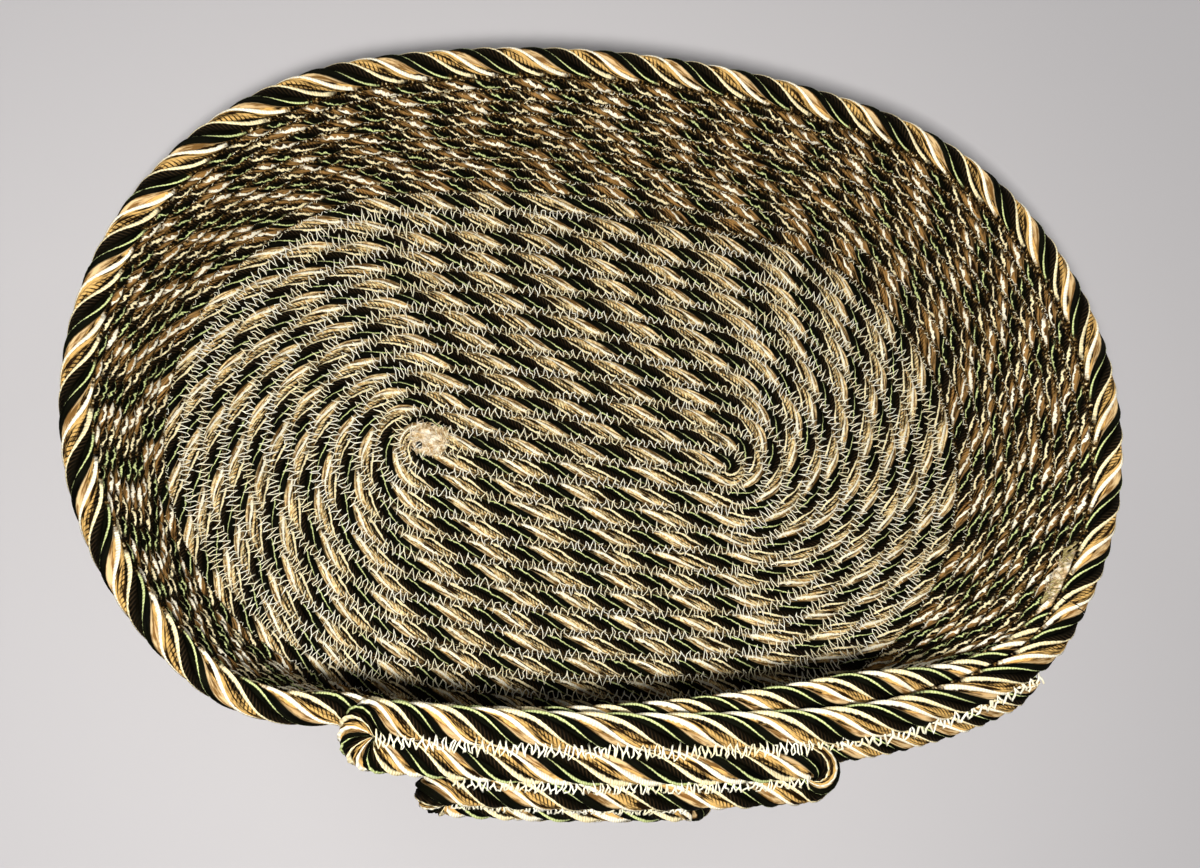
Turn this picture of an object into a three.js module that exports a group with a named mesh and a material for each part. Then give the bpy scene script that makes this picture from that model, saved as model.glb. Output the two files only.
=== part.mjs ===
import * as THREE from "three";

// Coiled and sewn rope bowl with a front lip. Millimetres, +Z up, +X along the oval, -Y the lip's side.
// The origin is the middle of the underside, on the flat of the first straight run of rope.

// Rope and sewing.
const CORD_DIAMETER = 7.5; // twisted cord, measured through the sewn wall
const ROW_PITCH = 6.4; // from row to row, where the stitches draw the soft cord together
const ROW_GAP = 0.5; // clear width of a seam
const FLAT_CUT = 0.1; // share of the cord's diameter that is cut flat on its two faces
const END_GAP = 0.3; // between two stretches of cord that meet end to end
const THREAD_WIDTH = 0.7; // seam thread, laid as one strand along its seam
const THREAD_DEPTH = 0.7;
const THREAD_LEVEL = 1.7; // the strand's inner edge, from the middle of the cord

// The coil.
const CORE_LENGTH = 94; // between the two turning centres of the oval
const START_INSET = 5.5; // from the left turning centre to the rope's first cut end
const FLOOR_ROWS = 11; // rows that lie flat
const BEND_ANGLES = [20, 46, 68]; // rise of the rows between floor and wall, degrees
const WALL_ANGLE = 82; // rise of the wall rows, degrees
const RIM_ROW = 23; // the last full row
const NODE_ROW = 12; // the row at whose back middle the floor's stretch ends
const SIDE_BOW = 0.26; // each row's side bows out by this much more than the row before
const FRONT_PULL = 18; // how far the rim is drawn in at the front
const PULL_CENTRE = -78; // direction of the deepest pull, degrees
const PULL_REACH = 48; // degrees to either side
const LOOP_STEPS = 24;
const GAP_SPACING = 4; // points for measuring a tube's gap to itself
const HALF_STEPS = LOOP_STEPS / 2;
const SIDE_STEPS = 2; // from the middle of a side to the end's arc
const END_STEPS = HALF_STEPS - 2 * SIDE_STEPS;

// The splice on the right wall and the place where the rope leaves the rim, in steps of a loop.
const SPLICE_LOOP = RIM_ROW - 1;
const SPLICE_FROM = 7.05;
const SPLICE_TO = 7.63;
const LEAVE_STEP = 7.6;

// The lip: rows sewn to and fro, each from one end to the other.
const LIP_DIAMETER = 9.4; // the cord is left looser here
const LIP_PITCH = 8.9;
const LIP_GAP = 0.6;
const LIP_START = [-81.9, 80.4]; // Y and Z of the first row, where the ends of the lip would be in line
const LIP_FALL = [12, 42, 68, 86, 96]; // fall of the surface from row to row, degrees
const LIP_TILT = 0.02; // the left end stands farther out than the right
const LIP_BOW = 2.4; // the middle stands farther out than the ends
const LIP_ENDS = [-58, 53, -38, 23, -17, 6]; // X where each row ends
const LIP_JOIN = LIP_ENDS[1] + LIP_PITCH / 2; // X where the first row has come down from the rim
const LIP_SPAN = 24; // longest step along a row of the lip
const LEAVE_EASE = 17; // how far the rope keeps its way as it leaves the rim
const JOIN_EASE = 20; // and as it comes into the lip's first row

// Sealed cut ends: length of each plug past the end of the cord.
const START_SEAL = START_INSET + 0.4 * ROW_PITCH;
const TAIL_SEAL = 6;

const FACE = 0.5 * CORD_DIAMETER * (1 - 2 * FLAT_CUT);
const HALF_WIDTH = 0.5 * (ROW_PITCH - ROW_GAP);
const DEG = Math.PI / 180;
const UP = new THREE.Vector3(0, 0, 1);

// Radius and height of each row's middle, from the rise of each step.
const rowRadius = [0];
const rowHeight = [FACE];
for (let row = 1; row <= RIM_ROW + 3; row++) {
  const bend = row - FLOOR_ROWS - 1;
  let rise = 0;
  if (bend >= BEND_ANGLES.length) {
    rise = WALL_ANGLE;
  } else if (bend >= 0) {
    rise = BEND_ANGLES[bend];
  }
  rowRadius.push(rowRadius[row - 1] + ROW_PITCH * Math.cos(rise * DEG));
  rowHeight.push(rowHeight[row - 1] + ROW_PITCH * Math.sin(rise * DEG));
}
const WALL_FOOT = FLOOR_ROWS + BEND_ANGLES.length;

// A point of half an oval, from the back middle over the right end to the front middle,
// and its outward direction.
function halfOval(radius, bow, step) {
  const lean = Math.max(2 * Math.atan((2 * bow) / CORE_LENGTH), 1e-4);
  const centre = CORE_LENGTH / (2 * Math.tan(lean));
  const sideRadius = radius + centre / Math.cos(lean);
  const quarter = Math.PI / 2;
  if (step > SIDE_STEPS && step < HALF_STEPS - SIDE_STEPS) {
    const angle = quarter - lean - ((step - SIDE_STEPS) / END_STEPS) * (Math.PI - 2 * lean);
    const x = CORE_LENGTH / 2 + radius * Math.cos(angle);
    return { x, y: radius * Math.sin(angle), angle };
  }
  const back = step <= SIDE_STEPS;
  const angle = quarter - lean * ((back ? step : HALF_STEPS - step) / SIDE_STEPS);
  const x = sideRadius * Math.cos(angle);
  const y = sideRadius * Math.sin(angle) - centre;
  return back ? { x, y, angle } : { x, y: -y, angle: -angle };
}

// A point on the middle of the rope. A loop runs clockwise from the back middle
// and changes row at the right end.
function railPoint(loop, step) {
  const right = step <= HALF_STEPS;
  const inner = Math.max(right ? loop : loop + 1, 0);
  const outer = inner + 1;
  const change = right ? 0.5 * (1 - Math.cos((Math.PI * step) / HALF_STEPS)) : 0;
  const row = inner + change;
  const shift = right ? 0.5 * (rowRadius[outer] - rowRadius[inner]) : 0;
  const half = halfOval(rowRadius[inner] + shift, SIDE_BOW * row, right ? step : step - HALF_STEPS);
  const turned = right ? 1 : -1;
  const angle = right ? half.angle : half.angle - Math.PI;
  const z = rowHeight[inner] + (rowHeight[outer] - rowHeight[inner]) * change;
  const away = Math.abs(angle / DEG - PULL_CENTRE) / PULL_REACH;
  const climb = Math.max(row - WALL_FOOT, 0) / (RIM_ROW - WALL_FOOT);
  const pull = away < 1 ? FRONT_PULL * climb * Math.cos((away * Math.PI) / 2) ** 2 : 0;
  const x = turned * half.x - pull * Math.cos(angle);
  const y = turned * half.y - shift - pull * Math.sin(angle);
  return new THREE.Vector3(x, y, z);
}

// The same on the straight chords between whole steps, so that neighbouring rows keep parallel facets.
function chordPoint(loop, step) {
  const low = Math.floor(step);
  if (step === low) {
    return railPoint(loop, low);
  }
  return railPoint(loop, low).lerp(railPoint(loop, low + 1), step - low);
}

// Direction from the row inside, along the floor or up the wall.
function rowDirection(loop, step) {
  const outer = Math.max(loop, 1);
  return chordPoint(outer, step).sub(chordPoint(outer - 1, step)).normalize();
}

// Stations of the coil from one step to another, counted in steps from the start of loop 0.
function coilStations(from, to) {
  const marks = [from];
  for (let mark = Math.floor(from) + 1; mark < to; mark++) {
    marks.push(mark);
  }
  marks.push(to);
  return marks.map((mark) => {
    const loop = Math.floor(mark / LOOP_STEPS);
    const step = mark - loop * LOOP_STEPS;
    return { point: chordPoint(loop, step), side: rowDirection(loop, step) };
  });
}

// Six-sided cord section: two flats and two corners that face the neighbouring rows.
function cordSection(width, face) {
  return [
    [width, 0],
    [0.6 * width, face],
    [-0.6 * width, face],
    [-width, 0],
    [-0.6 * width, -face],
    [0.6 * width, -face],
  ];
}

// Travel, sideways and facing directions at each station of a route.
function frames(stations) {
  return stations.map((station, i) => {
    const before = stations[Math.max(i - 1, 0)].point;
    const after = stations[Math.min(i + 1, stations.length - 1)].point;
    const into = station.point.clone().sub(before).normalize();
    const out = after.clone().sub(station.point).normalize();
    const travel = into.add(out).normalize();
    const side = station.side.clone();
    if (station.facing) {
      side.crossVectors(station.facing, travel);
    }
    side.addScaledVector(travel, -side.dot(travel)).normalize();
    return { travel, side, facing: new THREE.Vector3().crossVectors(travel, side) };
  });
}

// One unbroken tube along a route, with a flat cap at each end.
function tube(stations, sectionAt) {
  const positions = [];
  const indices = [];
  const axes = frames(stations);
  let count = 0;
  stations.forEach((station, i) => {
    const section = sectionAt(station, i);
    count = section.length;
    for (const [across, through] of section) {
      const corner = station.point.clone();
      corner.addScaledVector(axes[i].side, across).addScaledVector(axes[i].facing, through);
      positions.push(corner.x, corner.y, corner.z);
    }
  });
  for (let i = 0; i + 1 < stations.length; i++) {
    for (let j = 0; j < count; j++) {
      const a = i * count + j;
      const b = i * count + ((j + 1) % count);
      indices.push(a, b, a + count, b, b + count, a + count);
    }
  }
  const last = (stations.length - 1) * count;
  for (let j = 1; j + 1 < count; j++) {
    indices.push(0, j + 1, j, last, last + j, last + j + 1);
  }
  const geometry = new THREE.BufferGeometry();
  geometry.setAttribute("position", new THREE.Float32BufferAttribute(positions, 3));
  geometry.setIndex(indices);
  geometry.computeVertexNormals();
  return geometry;
}

// Least distance of a tube to itself: between points along its corner edges,
// on stretches at least two diameters apart.
function leastGap(geometry, stations, count) {
  const corners = geometry.getAttribute("position");
  const points = [];
  let along = 0;
  for (let i = 0; i + 1 < stations.length; i++) {
    const length = stations[i].point.distanceTo(stations[i + 1].point);
    const parts = Math.ceil(length / GAP_SPACING);
    for (let part = 0; part < parts; part++) {
      for (let j = 0; j < count; j++) {
        const point = new THREE.Vector3().fromBufferAttribute(corners, i * count + j);
        point.lerp(new THREE.Vector3().fromBufferAttribute(corners, (i + 1) * count + j), part / parts);
        points.push({ point, place: along + (length * part) / parts });
      }
    }
    along += length;
  }
  let least = Infinity;
  points.forEach((a, i) => {
    for (let j = i + 1; j < points.length; j++) {
      if (points[j].place - a.place > 2 * CORD_DIAMETER) {
        least = Math.min(least, a.point.distanceToSquared(points[j].point));
      }
    }
  });
  return Math.sqrt(least);
}

const ropeMaterial = new THREE.MeshStandardMaterial({ color: 0x6b5836, roughness: 0.7 });
const threadMaterial = new THREE.MeshStandardMaterial({ color: 0xf0e2b8, roughness: 0.6 });
const sealMaterial = new THREE.MeshStandardMaterial({ color: 0xc9b58c, roughness: 0.8 });
const bowl = new THREE.Group();
bowl.name = "rope_bowl";

function addPart(name, geometry, material) {
  const mesh = new THREE.Mesh(geometry, material);
  mesh.name = name;
  bowl.add(mesh);
}

function addRope(name, stations, sectionAt) {
  const geometry = tube(stations, sectionAt);
  addPart(name, geometry, ropeMaterial);
  console.log(name, "least gap to itself", leastGap(geometry, stations, 6).toFixed(2), "mm");
}

const coilSection = () => cordSection(HALF_WIDTH, FACE);

// Moves the first or last station of a route along it.
function trim(stations, atStart, length) {
  const end = stations[atStart ? 0 : stations.length - 1];
  const next = stations[atStart ? 1 : stations.length - 2];
  const inward = next.point.clone().sub(end.point).normalize();
  end.point.addScaledVector(inward, length);
  return stations;
}

// First length of rope: the floor from its cut start, and the wall up to the splice.
const start = {
  point: new THREE.Vector3(-CORE_LENGTH / 2 + START_INSET, 0, FACE),
  side: new THREE.Vector3(0, 1, 0),
};
const floorEnd = NODE_ROW * LOOP_STEPS + 0.5;
const floorRoute = trim([start, ...coilStations(0, floorEnd)], false, END_GAP / 2);
addRope("floor_coil", floorRoute, coilSection);
const spliceMark = SPLICE_LOOP * LOOP_STEPS;
const wallRoute = trim(coilStations(floorEnd, spliceMark + SPLICE_FROM), true, END_GAP / 2);
addRope("wall_coil", wallRoute, coilSection);

// Second length of rope: the rim from the splice round to the place where it leaves the wall.
const leaveMark = RIM_ROW * LOOP_STEPS + LEAVE_STEP;
const rimRoute = coilStations(spliceMark + SPLICE_TO, leaveMark);
addRope("rim_rope", rimRoute, coilSection);

// The lip's surface: a point and its outward direction, by X and by row.
function lipPoint(x, row) {
  const reach = x / LIP_ENDS[0];
  let y = LIP_START[0] + LIP_TILT * x - LIP_BOW * (1 - reach * reach);
  let z = LIP_START[1];
  const whole = Math.min(Math.floor(row), LIP_FALL.length - 1);
  for (let k = 0; k <= whole; k++) {
    const share = k < whole ? 1 : row - whole;
    y -= share * LIP_PITCH * Math.cos(LIP_FALL[k] * DEG);
    z -= share * LIP_PITCH * Math.sin(LIP_FALL[k] * DEG);
  }
  return new THREE.Vector3(x, y, z);
}

function lipFacing(row) {
  const place = Math.min(Math.max(row - 0.5, 0), LIP_FALL.length - 1);
  const low = Math.min(Math.floor(place), LIP_FALL.length - 2);
  const fall = LIP_FALL[low] + (LIP_FALL[low + 1] - LIP_FALL[low]) * (place - low);
  return new THREE.Vector3(0, -Math.sin(fall * DEG), Math.cos(fall * DEG));
}

function lipStation(x, row) {
  return { point: lipPoint(x, row), side: UP, facing: lipFacing(row), size: 1 };
}

// The lip's rows to and fro, with a half turn between one row and the next.
const TURN_STEPS = 6;
const TURN_RADIUS = LIP_PITCH / 2;
const lipRows = [];
LIP_ENDS.forEach((end, row) => {
  const begin = row === 0 ? LIP_JOIN : LIP_ENDS[row - 1];
  const spans = Math.max(2, Math.round(Math.abs(end - begin) / LIP_SPAN));
  const firstSpan = row === 0 ? 0 : 1;
  for (let i = firstSpan; i <= spans; i++) {
    lipRows.push(lipStation(begin + ((end - begin) * i) / spans, row));
  }
  if (row + 1 < LIP_ENDS.length) {
    const way = Math.sign(end - begin);
    for (let i = 1; i <= TURN_STEPS; i++) {
      const angle = (Math.PI * i) / TURN_STEPS;
      const x = end + way * TURN_RADIUS * Math.sin(angle);
      lipRows.push(lipStation(x, row + 0.5 - 0.5 * Math.cos(angle)));
    }
  }
});

// The way from the rim to the first row: a curve that leaves along the rim
// and rolls the cord over by a quarter turn.
const leaveAxes = frames(rimRoute.slice(-2))[1];
const leaveWay = leaveAxes.travel;
const leavePoint = rimRoute[rimRoute.length - 1].point.clone().addScaledVector(leaveWay, END_GAP);
const bendPoint = leavePoint.clone().addScaledVector(leaveWay, CORD_DIAMETER);
const joinPoint = lipRows[0].point;
const joinWay = lipRows[1].point.clone().sub(joinPoint).normalize();
const leaveCurve = new THREE.CubicBezierCurve3(
  bendPoint,
  bendPoint.clone().addScaledVector(leaveWay, LEAVE_EASE),
  joinPoint.clone().addScaledVector(joinWay, -JOIN_EASE),
  joinPoint,
);
const LEAVE_SPANS = 8;
const leaveRoute = [{ point: leavePoint, side: UP, facing: leaveAxes.facing, size: 0 }];
for (let i = 0; i < LEAVE_SPANS; i++) {
  const share = i / LEAVE_SPANS;
  const facing = leaveAxes.facing.clone().multiplyScalar(1 - share).addScaledVector(lipFacing(0), share);
  leaveRoute.push({ point: leaveCurve.getPoint(share), side: UP, facing: facing.normalize(), size: share });
}
const lipRoute = [...leaveRoute, ...lipRows];
const LIP_FACE = 0.5 * LIP_DIAMETER * (1 - 2 * FLAT_CUT);
const LIP_HALF_WIDTH = 0.5 * (LIP_PITCH - LIP_GAP);
addRope("lip_rope", lipRoute, (station) =>
  cordSection(
    HALF_WIDTH + (LIP_HALF_WIDTH - HALF_WIDTH) * station.size,
    FACE + (LIP_FACE - FACE) * station.size,
  ),
);

// Sealed cut ends: short plugs that carry on the cord's section and taper to a blunt tip.
// A shape lists shares of the plug's length with the section's share there.
function plug(from, way, facing, width, face, length, shape) {
  const stations = shape.map(([along, share]) => ({
    point: from.clone().addScaledVector(way, END_GAP + along * (length - END_GAP)),
    side: UP,
    facing,
    share,
  }));
  return tube(stations, (station) => cordSection(width * station.share, face * station.share));
}
const startWay = new THREE.Vector3(-1, 0, 0);
const startShape = [[0, 0.94], [0.63, 0.94], [0.86, 0.72], [1, 0.3]];
const startPlug = plug(start.point, startWay, UP, HALF_WIDTH, FACE, START_SEAL, startShape);
addPart("start_seal", startPlug, sealMaterial);

const tail = lipRoute[lipRoute.length - 1];
const tailWay = tail.point.clone().sub(lipRoute[lipRoute.length - 2].point).normalize();
const tailShape = [[0, 0.94], [0.56, 0.88], [1, 0.5]];
const tailPlug = plug(tail.point, tailWay, tail.facing, LIP_HALF_WIDTH, LIP_FACE, TAIL_SEAL, tailShape);
addPart("tail_seal", tailPlug, sealMaterial);

const spliceEnds = coilStations(spliceMark + SPLICE_FROM, spliceMark + SPLICE_TO);
const spliceFrame = frames(spliceEnds)[0];
const spliceLength = spliceEnds[0].point.distanceTo(spliceEnds[spliceEnds.length - 1].point) - END_GAP;
const spliceShape = [[0, 0.98], [0.3, 0.9], [0.7, 0.9], [1, 0.98]];
const splicePlug = plug(
  spliceEnds[0].point, spliceFrame.travel, spliceFrame.facing, HALF_WIDTH, FACE, spliceLength, spliceShape,
);
addPart("splice_binding", splicePlug, sealMaterial);

// Seam threads: the needle thread on the inner face and the bobbin thread on the outer face.
function threadSection(face) {
  const near = THREAD_LEVEL * face;
  const far = (THREAD_LEVEL + THREAD_DEPTH) * face;
  const half = (0.5 * THREAD_WIDTH) * face;
  return () => [[half, far], [-half, far], [0, near]];
}

// The seam between each row and the row inside it, at the middle of the gap.
function seamStations(from, to) {
  const stations = [];
  for (let mark = from; mark <= to; mark++) {
    const loop = Math.floor(mark / LOOP_STEPS);
    const step = mark - loop * LOOP_STEPS;
    const outer = railPoint(loop, step);
    const inner = loop === 0 ? railPoint(-1, step) : railPoint(loop - 1, step);
    if (loop === 0 && step <= HALF_STEPS) {
      inner.set(outer.x, 0, FACE);
    } else if (loop === 0) {
      inner.set(Math.max(outer.x, -CORE_LENGTH / 2), 0, FACE);
    }
    const side = outer.clone().sub(inner).normalize();
    stations.push({ point: outer.lerp(inner, 0.5), side });
  }
  return stations;
}
const seamStart = HALF_STEPS - SIDE_STEPS;
const floorSeamEnd = NODE_ROW * LOOP_STEPS;
const wallSeamEnd = RIM_ROW * LOOP_STEPS + Math.floor(LEAVE_STEP) - 1;
for (const [name, face] of [["needle_thread", 1], ["bobbin_thread", -1]]) {
  const floorSeam = trim(seamStations(seamStart, floorSeamEnd), false, END_GAP);
  addPart(name + "_floor", tube(floorSeam, threadSection(face)), threadMaterial);
  const wallSeam = seamStations(floorSeamEnd, wallSeamEnd);
  addPart(name + "_wall", tube(wallSeam, threadSection(face)), threadMaterial);
}

// The lip's seams, one strand for each pair of rows, on the outer face.
for (let row = 0; row + 1 < LIP_ENDS.length; row++) {
  const turn = LIP_ENDS[row];
  const begin = row === 0 ? LIP_JOIN : LIP_ENDS[row - 1];
  const free = LIP_ENDS[row + 1];
  const other = turn < free ? Math.min(begin, free) : Math.max(begin, free);
  const spans = Math.max(2, Math.round(Math.abs(other - turn) / LIP_SPAN));
  const seam = [];
  for (let i = 0; i <= spans; i++) {
    const station = lipStation(turn + ((other - turn) * i) / spans, row + 0.5);
    seam.push(station);
  }
  addPart("lip_thread_" + (row + 1), tube(seam, threadSection(1)), threadMaterial);
}

export default bowl;
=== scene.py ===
# %% [markdown]
# # A coiled rope bowl
# The real bowl is made from one kind of soft, shiny furnishing cord. It starts as a straight run on
# the table, goes round and round in an oval, and a sewing machine joins each row to the row inside it
# with a wide zigzag. When the rows are tilted under the needle, the floor turns up into a wall. At the
# front the cord leaves the rim and is sewn to and fro into a lip that folds outwards.
#
# The CAD solids give the route and the sizes. This file dresses them: twisted cord along that route,
# zigzag stitches along every seam, and frayed, glued ends where the cord was cut.

# %% The frame
from math import pi

import bmesh
import bpy
import numpy as np
from mathutils import Matrix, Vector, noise


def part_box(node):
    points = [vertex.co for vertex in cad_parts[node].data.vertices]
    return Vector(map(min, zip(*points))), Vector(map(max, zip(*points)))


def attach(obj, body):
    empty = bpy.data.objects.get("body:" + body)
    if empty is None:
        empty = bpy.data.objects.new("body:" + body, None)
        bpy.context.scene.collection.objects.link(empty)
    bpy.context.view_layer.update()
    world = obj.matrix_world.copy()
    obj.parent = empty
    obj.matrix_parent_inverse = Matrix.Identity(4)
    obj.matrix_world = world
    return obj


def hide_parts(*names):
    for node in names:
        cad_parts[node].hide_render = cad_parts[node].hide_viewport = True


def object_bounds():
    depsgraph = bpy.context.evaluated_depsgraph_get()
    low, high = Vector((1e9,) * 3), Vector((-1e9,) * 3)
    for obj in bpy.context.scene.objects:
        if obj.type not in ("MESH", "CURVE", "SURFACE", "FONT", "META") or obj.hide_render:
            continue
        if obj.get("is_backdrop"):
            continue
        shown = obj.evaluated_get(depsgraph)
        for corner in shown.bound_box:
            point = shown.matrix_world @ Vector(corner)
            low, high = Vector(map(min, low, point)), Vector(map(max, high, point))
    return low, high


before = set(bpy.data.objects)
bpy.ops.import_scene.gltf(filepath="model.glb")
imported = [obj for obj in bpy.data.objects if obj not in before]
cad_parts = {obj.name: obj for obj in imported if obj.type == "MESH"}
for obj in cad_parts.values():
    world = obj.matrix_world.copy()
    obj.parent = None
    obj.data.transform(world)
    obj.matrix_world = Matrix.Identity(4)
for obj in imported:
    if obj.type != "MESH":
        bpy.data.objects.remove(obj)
cad_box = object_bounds()
MM = 0.001
print("CAD nodes:", len(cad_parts), "box:", [round(c / MM, 1) for p in cad_box for c in p], "mm")

# %% [markdown]
# ## The route of the cord
# Every row is an oval: two half circles about two turning centres, joined by gently bowed sides. The
# cord changes from one row to the next on the right half, so the coil is one unbroken spiral. The same
# numbers as in the CAD source give the same line here, in millimetres, but as a smooth curve instead of
# 24 straight steps to a loop. A place on the route is a mark: 24 marks make one loop, clockwise from
# the back middle.

# %% The oval rows
ROW_PITCH, CORD_FACE = 6.4, 3.0
CORE_LENGTH, START_X = 94.0, -41.5
FLOOR_ROWS, WALL_RISE, RIM_ROW, SPARE_ROWS = 11, 82, 23, 4
BEND_RISES = [20, 46, 68]
SIDE_BOW, LEAST_LEAN = 0.26, 1e-4
FRONT_PULL, PULL_CENTRE, PULL_REACH = 18.0, -78.0, 48.0
LOOP, HALF, SIDE = 24, 12, 2
WALL_FOOT = FLOOR_ROWS + len(BEND_RISES)


def running(steps):
    """Running total of the steps, from 0."""
    return np.concatenate([[0], np.cumsum(steps)])


rises = np.radians([0] * FLOOR_ROWS + BEND_RISES + [WALL_RISE] * (RIM_ROW + SPARE_ROWS - WALL_FOOT))
row_radius = running(ROW_PITCH * np.cos(rises))
row_height = CORD_FACE + running(ROW_PITCH * np.sin(rises))


def rail(loop, step):
    """Points on the middle of the cord, in mm, for arrays of loops and of steps in the loop."""
    loop, step = np.broadcast_arrays(np.asarray(loop, float), np.asarray(step, float))
    right = step <= HALF
    inner = np.maximum(np.where(right, loop, loop + 1), 0).astype(int)
    change = np.where(right, 0.5 * (1 - np.cos(pi * step / HALF)), 0.0)
    row = inner + change
    shift = np.where(right, 0.5 * (row_radius[inner + 1] - row_radius[inner]), 0.0)
    radius = row_radius[inner] + shift
    lean = np.maximum(2 * np.arctan(2 * SIDE_BOW * row / CORE_LENGTH), LEAST_LEAN)
    centre = CORE_LENGTH / (2 * np.tan(lean))
    side_radius = radius + centre / np.cos(lean)
    place = np.where(right, step, step - HALF)
    on_end = (place > SIDE) & (place < HALF - SIDE)
    back = place <= SIDE
    end_angle = pi / 2 - lean - (place - SIDE) / (HALF - 2 * SIDE) * (pi - 2 * lean)
    side_angle = pi / 2 - lean * np.where(back, place, HALF - place) / SIDE
    x = np.where(on_end, CORE_LENGTH / 2 + radius * np.cos(end_angle), side_radius * np.cos(side_angle))
    side_y = np.where(back, 1, -1) * (side_radius * np.sin(side_angle) - centre)
    y = np.where(on_end, radius * np.sin(end_angle), side_y)
    angle = np.where(on_end, end_angle, np.where(back, side_angle, -side_angle))
    angle = np.where(right, angle, angle - pi)
    turned = np.where(right, 1, -1)
    away = np.abs(np.degrees(angle) - PULL_CENTRE) / PULL_REACH
    climb = np.maximum(row - WALL_FOOT, 0) / (RIM_ROW - WALL_FOOT)
    pull = np.where(away < 1, FRONT_PULL * climb * np.cos(np.minimum(away, 1) * pi / 2) ** 2, 0)
    z = row_height[inner] + (row_height[inner + 1] - row_height[inner]) * change
    return np.stack([turned * x - pull * np.cos(angle), turned * y - shift - pull * np.sin(angle), z], -1)


def coil(marks):
    """Points of the coil, and at each the way from the row inside, along the floor or up the wall."""
    loop, step = np.floor(marks / LOOP), np.mod(marks, LOOP)
    outer = np.maximum(loop, 1)
    return rail(loop, step), rail(outer, step) - rail(outer - 1, step)


backs = rail(np.arange(1, RIM_ROW), 0).round(1)
print("at the back the rows reach y =", backs[-1, 1], "mm and z =", backs[-1, 2], "mm")

# %% [markdown]
# ## Even steps and a frame at each step
# A sweep needs to know which way is sideways and which way is up at every step. Here `side` points to
# the next row and `facing` out of the surface that shows: up on the floor, inwards on the wall. The
# steps are as long as the piece asks, and shorter where the cord turns tightly.

# %% Stations along a route
TURN_STEP = 0.2


def unit(v):
    return v / np.linalg.norm(v, axis=-1, keepdims=True)


def gaps(points):
    return np.linalg.norm(np.diff(points, axis=0), axis=1)


def lengths(points):
    return running(gaps(points))


def bends(points):
    """How sharply a line turns at each of its points, in radians per mm."""
    way = np.gradient(points, axis=0)
    return np.linalg.norm(np.gradient(unit(way), axis=0), axis=1) / np.linalg.norm(way, axis=1)


def respaced(points, spacing):
    """Places between the points of a fine line, `spacing` mm apart, or TURN_STEP radians if that is less."""
    weight = np.maximum(1 / spacing, bends(points) / TURN_STEP)
    count = running(gaps(points) * 0.5 * (weight[1:] + weight[:-1]))
    return np.interp(np.linspace(0, count[-1], int(np.ceil(count[-1])) + 1), count, np.arange(len(points)))


def rows_at(places, rows):
    """Rows of a table at places between its row numbers."""
    return np.stack([np.interp(places, np.arange(len(rows)), column) for column in rows.T], -1)


def framed(points, side):
    """Travel, sideways and facing directions along a line of points."""
    travel = unit(np.gradient(points, axis=0))
    side = unit(side - travel * np.sum(side * travel, axis=1, keepdims=True))
    return travel, side, np.cross(travel, side)


print("in tight turns a step is", round(np.degrees(TURN_STEP), 1), "degrees")

# %% Stretches of the coil
FINE, SEWN_STEP = 40, 1.8
FLOOR_END, WALL_END = 12 * LOOP, 22 * LOOP
floor_mark, wall_mark = FLOOR_END + 0.5, WALL_END + 7.05
rim_from, rim_to = WALL_END + 7.63, RIM_ROW * LOOP + 7.6


def coil_stretch(first, last, spacing):
    """Marks, points and sideways directions of a stretch of the coil, evenly spaced."""
    fine = np.linspace(first, last, int((last - first) * FINE) + 2)
    places = respaced(coil(fine)[0], spacing)
    marks = np.interp(places, np.arange(len(fine)), fine)
    return marks, *coil(marks)


marks, points, side = coil_stretch(0, rim_to, SEWN_STEP)
print("the coil is", round(lengths(points)[-1] / 1000, 2), "m of cord in", len(points), "steps")

# %% [markdown]
# ## How the plies lie
# Six plies in three kinds, each kind twice, are laid together with a right-hand twist, so the three
# kinds repeat about every 19.5 mm. A loop is longer than the one inside it by almost exactly two
# repeats, and so the plies of neighbouring rows would nearly line up. But the hand that guides the cord
# eases or tightens the twist by a few per cent in each half loop, so every row is shifted by another
# step, and the light and dark parts of the rows make broken bands.

# %% Twist along the coil
REPEAT, FLOOR_SHIFT, WALL_SHIFT, FRONT_PHASE = 19.5, 1.2, 3.2, 0.35
FLOOR_SCATTER, WALL_SCATTER = 4.0, 2.5
WANDER, WALL_WANDER, RIM_WANDER, WANDER_EVERY = 0.07, 0.15, 0.03, 26.0
SHIFT_SEED, WANDER_SEED, RIM_FADE, TWIST_FINE = 6, 4, 0.3, 10
on_wall = np.arange(RIM_ROW + 2) > WALL_FOOT
steps = np.random.default_rng(SHIFT_SEED).normal(0, 1, (2, len(on_wall)))
steps = np.where(on_wall, WALL_SHIFT + WALL_SCATTER * steps, FLOOR_SHIFT + FLOOR_SCATTER * steps)
back_phase, front_phase = np.cumsum(steps, axis=1) / REPEAT
front_phase = front_phase + FRONT_PHASE


def wander(run, seed):
    """A slow, fixed random drift along a run in mm, with a standard deviation of 1."""
    knots = np.arange(0, run.max() + 2 * WANDER_EVERY, WANDER_EVERY)
    return np.interp(run, knots, np.random.default_rng(seed).normal(0, 1, len(knots)))


def twist(marks_at):
    """Repeats of the ply pattern since the start of the cord, at these marks of the coil."""
    last = (RIM_ROW + 1) * LOOP
    fine = np.linspace(0, last, last * TWIST_FINE + 1)
    run = lengths(coil(fine)[0])
    stops = np.arange(0, last + 1, HALF)
    stop_run = np.interp(stops, fine, run)
    count = [0.0]
    for k in range(1, len(stops)):
        wanted = (front_phase if k % 2 else back_phase)[(k + 1) // 2]
        natural = count[-1] + (stop_run[k] - stop_run[k - 1]) / REPEAT
        count.append(wanted + round(natural - wanted))
    run_at = np.interp(marks_at, fine, run)
    changes = np.array([FLOOR_ROWS, WALL_FOOT, RIM_ROW - 1 - RIM_FADE, RIM_ROW - 1]) * LOOP
    drift = np.interp(marks_at, changes, [WANDER, WALL_WANDER, WALL_WANDER, RIM_WANDER])
    return np.interp(run_at, stop_run, count) + drift * wander(run_at, WANDER_SEED)


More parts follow.
